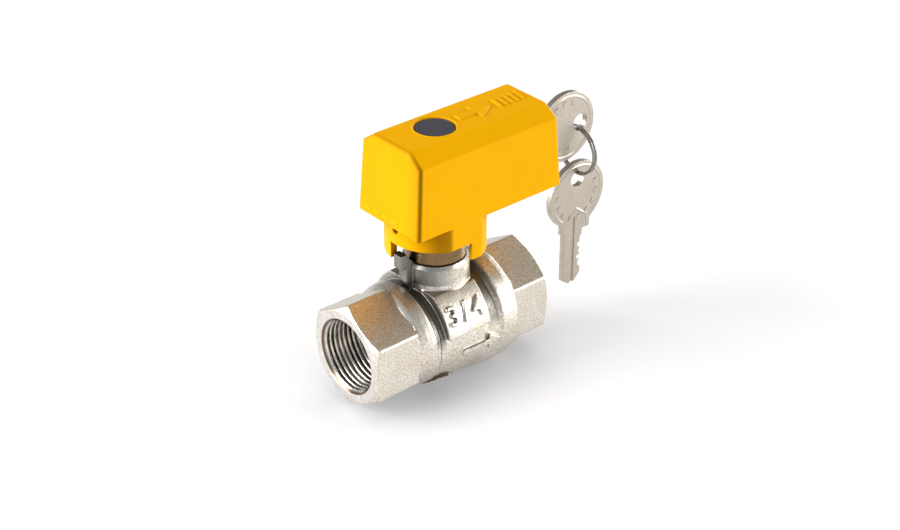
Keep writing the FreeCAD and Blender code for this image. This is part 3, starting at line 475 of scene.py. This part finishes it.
def curve_shape(name, curve):
    """The closed mesh of an extruded flat curve."""
    obj = link_new(name, curve)
    bpy.context.view_layer.update()
    mesh = bpy.data.meshes.new_from_object(obj.evaluated_get(bpy.context.evaluated_depsgraph_get()))
    bpy.data.objects.remove(obj)
    shape = bmesh.new()
    shape.from_mesh(mesh)
    bmesh.ops.remove_doubles(shape, verts=shape.verts, dist=0.001 * MM)
    bmesh.ops.recalc_face_normals(shape, faces=shape.faces)
    shape.to_mesh(mesh)
    shape.free()
    return mesh


def text_shape(text, height):
    """Raised text lying flat in x and y, its middle at the origin."""
    curve = bpy.data.curves.new("mark", "FONT")
    curve.body = text
    curve.align_x = "CENTER"
    curve.align_y = "CENTER"
    curve.size = height / LETTER_BODY
    curve.space_character = LETTER_SPACING
    curve.extrude = MARK_DEPTH
    curve.offset = LETTER_FATTER
    curve.resolution_u = 6
    return curve_shape("mark", curve)


def arrow_shape(length, width):
    """Flat arrow along x, as thick as the text."""
    half, neck, barb = length / 2.0, length * 0.20, width * 0.17
    side = width / 2.0
    above = [(half, 0), (neck, side), (neck, barb), (-half, barb)]
    outline = [(-half, -barb), (neck, -barb), (neck, -side), *above]
    curve = bpy.data.curves.new("arrow", "CURVE")
    curve.dimensions = "2D"
    curve.fill_mode = "BOTH"
    curve.extrude = MARK_DEPTH
    spline = curve.splines.new("POLY")
    spline.use_cyclic_u = True
    spline.points.add(len(outline) * ARROW_STEPS - 1)
    for corner, (start, end) in enumerate(zip(outline, outline[1:] + outline[:1])):
        for step in range(ARROW_STEPS):
            share = step / ARROW_STEPS
            place = [a + (b - a) * share for a, b in zip(start, end)]
            spline.points[corner * ARROW_STEPS + step].co = (*place, 0.0, 1.0)
    return curve_shape("arrow", curve)


def wrap(mesh, tree, at_x, at_angle, proud):
    """Lays a flat mark on the front of the barrel, its middle at a given x and angle above level."""
    for vertex in mesh.vertices:
        across, up, out = vertex.co
        angle = at_angle + up / BARREL_R
        outward = Vector((0.0, -math.cos(angle), math.sin(angle)))
        start = Vector((at_x + across, 0.0, 0.0)) + outward * BARREL_R * RAY_START
        hit = tree.ray_cast(start, -outward)[0]
        vertex.co = hit + outward * (out + proud - MARK_DEPTH)
    return mesh


# ---------------------------------------------------------------- cast pieces
HEAD_TOP_MM = 71.0
CAP_BEAD_R_MM, CAP_BEAD_HALF_MM, CAP_BEAD_HIGH_MM = 7.3, 0.38, 0.28
BORE_SIDE_MM, PORT_EDGE_MM = 13.9, 0.6
LEAST_ROUNDING = 0.15
RIM_SIDE_MM = 16.3
NECK_HIGH_MM = 30.0
UNEVEN_WAVES = ((0.07, 0.25), (0.02, 1.1))
CAST_VOXEL_MM = 0.22
SMALL_VOXEL_MM = 0.15


def outside_ports(point):
    """How much edges are rounded: 1 on the cast outside, and little in the threads."""
    radius = math.hypot(point.y, point.z)
    return min(max((radius - BORE_SIDE_MM) / PORT_EDGE_MM, LEAST_ROUNDING), 1.0)


def everywhere(point):
    return 1.0


def cast_piece(node, voxel_mm, rounds, rule, ratio, marks=(), shape_it=None):
    source = NODES[node]
    mesh = source.data.copy()
    shape = bmesh.new()
    for part in (mesh, *marks):
        shape.from_mesh(part)
    shape.to_mesh(mesh)
    shape.free()
    obj = link_new(node + "_look", mesh, source)
    soften(obj, voxel_mm, rounds, rule)
    if shape_it is not None:
        for vertex in obj.data.vertices:
            vertex.co = shape_it(vertex.co / MM) * MM
    thin_out(obj, ratio)
    smooth_shading(obj)
    finish_piece(obj, node, SLOT_OF[node])
    return obj


def uneven(point):
    """The slight unevenness of a casting, on the outside only."""
    radius = math.hypot(point.y, point.z)
    if radius < RIM_SIDE_MM or point.z > NECK_HIGH_MM:
        return point
    lift = sum(height * noise.noise(point * scale) for height, scale in UNEVEN_WAVES)
    outward = Vector((0.0, point.y, point.z)) / radius
    return point + outward * lift


def cap_bead(point):
    """A thin raised bead round the cap, on the head's top face."""
    if point.z < HEAD_TOP_MM - 1.0:
        return point
    from_bead = math.hypot(point.x, point.y) - CAP_BEAD_R_MM
    rise = CAP_BEAD_HIGH_MM * math.exp(-((from_bead / CAP_BEAD_HALF_MM) ** 2))
    return point + Vector((0.0, 0.0, rise))


def surface_tree(*names):
    """The outside of some CAD nodes, for laying marks and smears on it."""
    shape = bmesh.new()
    for name in names:
        shape.from_mesh(NODES[name].data)
    tree = BVHTree.FromBMesh(shape)
    shape.free()
    return tree


BODY_TREE = surface_tree("body")
OUTSIDE_TREE = surface_tree("body", "end_connector")
body_marks = [
    wrap(text_shape("3/4", 6.6 * MM), BODY_TREE, -1.8 * MM, math.radians(32.0), 1.0 * MM),
    wrap(arrow_shape(16.0 * MM, 6.2 * MM), BODY_TREE, 3.4 * MM, math.radians(-8.0), 1.1 * MM),
]
cast_piece("body", CAST_VOXEL_MM, 4, outside_ports, 0.35, body_marks, uneven)
cast_piece("end_connector", CAST_VOXEL_MM, 6, outside_ports, 0.35, (), uneven)
cast_piece("lock_head", CAST_VOXEL_MM, 4, everywhere, 0.4, (), cap_bead)
cast_piece("locking_ring", SMALL_VOXEL_MM, 2, everywhere, 0.3)
cast_piece("top_cap", SMALL_VOXEL_MM, 4, everywhere, 0.4)


# ---------------------------------------------------------------- sealant squeezed out of the joint
SMEAR_X, SMEAR_HALF_X = -9.6 * MM, 6.0 * MM
SMEAR_ANGLE, SMEAR_HALF_ANGLE = math.radians(-50.0), math.radians(15.0)
SMEAR_THICK = 0.75 * MM
SMEAR_STEPS = 48


def smear_sheets(shape):
    """The smear's outer and inner sheet, as rows of vertices over the barrel."""
    outer, inner = [], []
    for row in range(SMEAR_STEPS + 1):
        outer.append([])
        inner.append([])
        for column in range(SMEAR_STEPS + 1):
            u = 2.0 * column / SMEAR_STEPS - 1.0
            v = 2.0 * row / SMEAR_STEPS - 1.0
            x = SMEAR_X + u * SMEAR_HALF_X
            angle = SMEAR_ANGLE + v * SMEAR_HALF_ANGLE
            outward = Vector((0.0, -math.cos(angle), math.sin(angle)))
            start = Vector((x, 0.0, 0.0)) + outward * BARREL_R * RAY_START
            hit = OUTSIDE_TREE.ray_cast(start, -outward)[0]
            ragged = 0.45 * noise.noise(Vector((u * 2.2, v * 1.8, 0.0)))
            fullness = 1.0 - math.hypot(u, v) + ragged
            lumps = 0.7 + 0.9 * noise.noise(Vector((u * 4.0, v * 4.0, 7.0)))
            rise = SMEAR_THICK * (max(min(fullness * 3.0, 1.0), -0.5) * lumps - 0.1)
            outer[row].append(shape.verts.new(hit + outward * rise))
            inner[row].append(shape.verts.new(hit - outward * SMEAR_THICK))
    return outer, inner


def close_sheets(shape, outer, inner):
    """The faces of two sheets, and the four narrow sides between them."""
    for row in range(SMEAR_STEPS):
        for column in range(SMEAR_STEPS):
            for sheet in (outer, inner):
                here, above = sheet[row], sheet[row + 1]
                shape.faces.new((here[column], here[column + 1], above[column + 1], above[column]))
    for step in range(SMEAR_STEPS):
        after = step + 1
        for edge in (0, SMEAR_STEPS):
            shape.faces.new((outer[edge][step], outer[edge][after], inner[edge][after], inner[edge][step]))
            shape.faces.new((outer[step][edge], outer[after][edge], inner[after][edge], inner[step][edge]))
    bmesh.ops.recalc_face_normals(shape, faces=shape.faces)


def sealant_smear():
    """A lumpy smear of sealant over the joint, low on the front of the barrel, and the ring in the joint."""
    shape = bmesh.new()
    close_sheets(shape, *smear_sheets(shape))
    shape.from_mesh(NODES["connector_seal"].data)
    mesh = bpy.data.meshes.new("sealant")
    shape.to_mesh(mesh)
    shape.free()
    obj = link_new("connector_seal_look", mesh, NODES["connector_seal"])
    smooth_shading(obj)
    finish_piece(obj, "connector_seal", "brown_sealant")


sealant_smear()


# ---------------------------------------------------------------- keys
KEY_HEAD_MM = 27.2
BOW_R_MM = 12.75
BOW_FROM_MM = 5.5
KEY_HALF_THICK_MM, FACE_SKIN_MM = 1.1, 0.25
RIM_IN_MM, RIM_HALF_MM, RIM_DEEP_MM = 1.5, 0.32, 0.25
DASH_R_MM, DASH_HALF_MM, DASH_HIGH_MM = 9.0, 0.9, 0.22
DASHES_IN_TURN, DASH_REACH = 14.0, 2.0
CHEVRON_HALF_MM, CHEVRON_HIGH_MM = 0.36, 0.30
CHEVRON_MM = ((0.4, 5.4), (5.4, 4.6), (8.8, 0.0), (5.4, -4.6), (0.4, -5.4))


def distance_to_line(u, v, line):
    best = 1e9
    for (u0, v0), (u1, v1) in zip(line, line[1:]):
        du, dv = u1 - u0, v1 - v0
        share = ((u - u0) * du + (v - v0) * dv) / (du * du + dv * dv)
        share = min(max(share, 0.0), 1.0)
        best = min(best, math.hypot(u - u0 - share * du, v - v0 - share * dv))
    return best


def key_relief(along, across, height):
    """How far a key's flat face rises at a place: a pressed rim line, a raised chevron and soft edges."""
    bow_centre = KEY_HEAD_MM - BOW_R_MM
    from_centre = math.hypot(along - bow_centre, across)
    rise = 0.0
    if along > BOW_FROM_MM:
        rise -= RIM_DEEP_MM * math.exp(-(((from_centre - BOW_R_MM + RIM_IN_MM) / RIM_HALF_MM) ** 2))
    from_chevron = distance_to_line(along, across, CHEVRON_MM)
    rise += CHEVRON_HIGH_MM * math.exp(-((from_chevron / CHEVRON_HALF_MM) ** 2))
    around = math.atan2(across, bow_centre - along)
    on_dashes = abs(from_centre - DASH_R_MM) < DASH_HALF_MM and abs(around) < DASH_REACH
    if on_dashes and math.sin(around * DASHES_IN_TURN) > 0.1:
        rise += DASH_HIGH_MM
    return rise if abs(height) > KEY_HALF_THICK_MM - FACE_SKIN_MM else 0.0


def shaped_key(place_of):
    """A function that gives a key's faces their relief; place_of turns a point into (along, across)."""

    def shape_it(point):
        along, across = place_of(point)
        rise = key_relief(along, across, point.y)
        return point + Vector((0.0, math.copysign(rise, point.y), 0.0))

    return shape_it


key_1_high, key_2_high = (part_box(key)[1] / MM for key in ("key_1", "key_2"))
SHOULDER_X = key_1_high.x - KEY_HEAD_MM
KEY_1_Z = key_1_high.z - BOW_R_MM
SHOULDER_Z = key_2_high.z - KEY_HEAD_MM
KEY_2_X = key_2_high.x - BOW_R_MM
key_1_faces = shaped_key(lambda point: (point.x - SHOULDER_X, point.z - KEY_1_Z))
key_2_faces = shaped_key(lambda point: (point.z - SHOULDER_Z, point.x - KEY_2_X))
cast_piece("key_1", SMALL_VOXEL_MM, 3, everywhere, 0.4, (), key_1_faces)
cast_piece("key_2", SMALL_VOXEL_MM, 3, everywhere, 0.4, (), key_2_faces)


# ---------------------------------------------------------------- floor, light, camera
def make_floor():
    mesh = bpy.data.meshes.new("floor")
    half = FLOOR_HALF
    corners = [(-half, -half, FLOOR_Z), (half, -half, FLOOR_Z), (half, half, FLOOR_Z), (-half, half, FLOOR_Z)]
    mesh.from_pydata(corners, [], [(0, 1, 2, 3)])
    floor = bpy.data.objects.new("floor", mesh)
    SCENE.collection.objects.link(floor)
    g = Graph("floor_white")
    paper = g.ramp(g.noise(300.0), [(0.3, (0.54, 0.54, 0.55)), (0.7, (0.57, 0.57, 0.58))])
    # Painted contact shadow: the floor's colour and glow are darker where the valve hides it.
    contact_shadow = g.ramp(g.crevice(42.0), [(0.08, 0.0), (0.60, 1.0)])
    g.set(Base_Color=g.mix(contact_shadow, paper, (0.56, 0.565, 0.59)), Roughness=0.7)
    g.set(Emission_Color=g.mix(contact_shadow, (1.0, 1.0, 1.0), (0.27, 0.27, 0.28)), Emission_Strength=FLOOR_GLOW)
    mesh.materials.append(g.material)


def make_sun(name, from_side, strength, spread_deg):
    """A distant softbox: even light with soft-edged shadows."""
    data = bpy.data.lights.new(name, "SUN")
    data.energy = strength
    data.angle = math.radians(spread_deg)
    light = bpy.data.objects.new(name, data)
    light.rotation_euler = (-Vector(from_side)).to_track_quat("-Z", "Y").to_euler()
    SCENE.collection.objects.link(light)


def make_world():
    """A white studio with a dark side behind the valve, for the metal to reflect."""
    world = bpy.data.worlds.new("studio")
    world.use_nodes = True
    tree = world.node_tree
    background = tree.nodes["Background"]
    direction = tree.nodes.new("ShaderNodeTexCoord").outputs["Generated"]
    toward = tree.nodes.new("ShaderNodeVectorMath")
    toward.operation = "DOT_PRODUCT"
    toward.inputs[1].default_value = DARK_SIDE.normalized()
    tree.links.new(direction, toward.inputs[0])
    ramp = tree.nodes.new("ShaderNodeValToRGB")
    ramp.color_ramp.elements.new(0.5)
    for element, (position, colour) in zip(ramp.color_ramp.elements, WORLD_STOPS):
        element.position = position
        element.color = (*colour, 1.0)
    tree.links.new(toward.outputs["Value"], ramp.inputs["Fac"])
    tree.links.new(ramp.outputs["Color"], background.inputs["Color"])
    background.inputs["Strength"].default_value = 1.0
    SCENE.world = world


def make_camera():
    data = bpy.data.cameras.new("camera")
    data.sensor_width = SENSOR_MM
    data.lens = LENS_MM
    data.clip_start = 0.01
    data.clip_end = 20.0
    camera = bpy.data.objects.new("camera", data)
    flat = math.cos(CAMERA_RISE)
    back = Vector((-math.sin(CAMERA_TURN) * flat, -math.cos(CAMERA_TURN) * flat, math.sin(CAMERA_RISE)))
    camera.location = LOOK_AT + back * CAMERA_DISTANCE
    camera.rotation_euler = (-back).to_track_quat("-Z", "Y").to_euler()
    SCENE.collection.objects.link(camera)
    SCENE.camera = camera


make_floor()
make_world()
make_sun("key_light", (-0.82, 0.38, 0.36), 4.0, 44)
make_sun("front_light", (0.76, -0.60, 0.20), 2.45, 32)
make_sun("rim_light", (0.95, 0.20, 0.12), 1.5, 30)
make_camera()
SCENE.view_settings.view_transform = "Standard"
SCENE.view_settings.look = "None"
